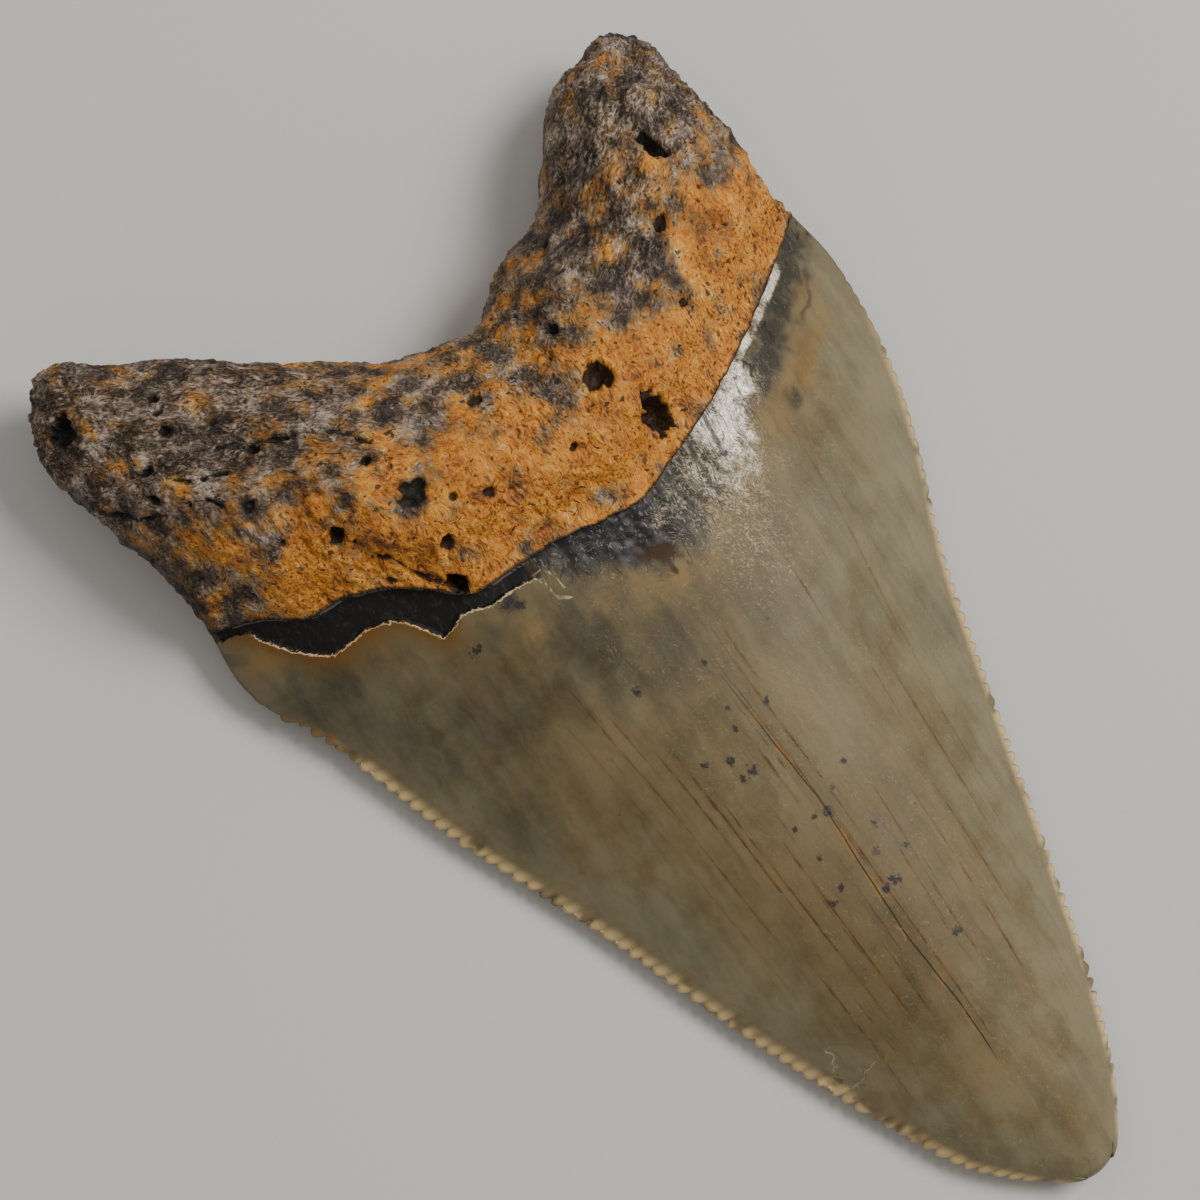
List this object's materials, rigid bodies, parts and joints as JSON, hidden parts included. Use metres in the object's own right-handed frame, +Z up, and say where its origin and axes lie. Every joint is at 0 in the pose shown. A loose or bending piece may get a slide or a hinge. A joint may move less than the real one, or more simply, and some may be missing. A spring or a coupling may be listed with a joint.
{
  "type": "fossil megalodon tooth",
  "caption": "Broad fossil shark tooth with finely serrated edges, a dark band under a pitted two-lobed root, lying on its outer face.",
  "frame": {"origin": "on the surface the tooth lies on, under the middle of its bounding box", "axes": "+Y from the tip to the root, +Z up out of the inner face, which carries the dark band"},
  "size_m": [0.0454, 0.0734, 0.013],
  "materials": {
    "fossil": "satin"
  },
  "bodies": {
    "root": {"tooth": "fossil"}
  },
  "joints": []
}
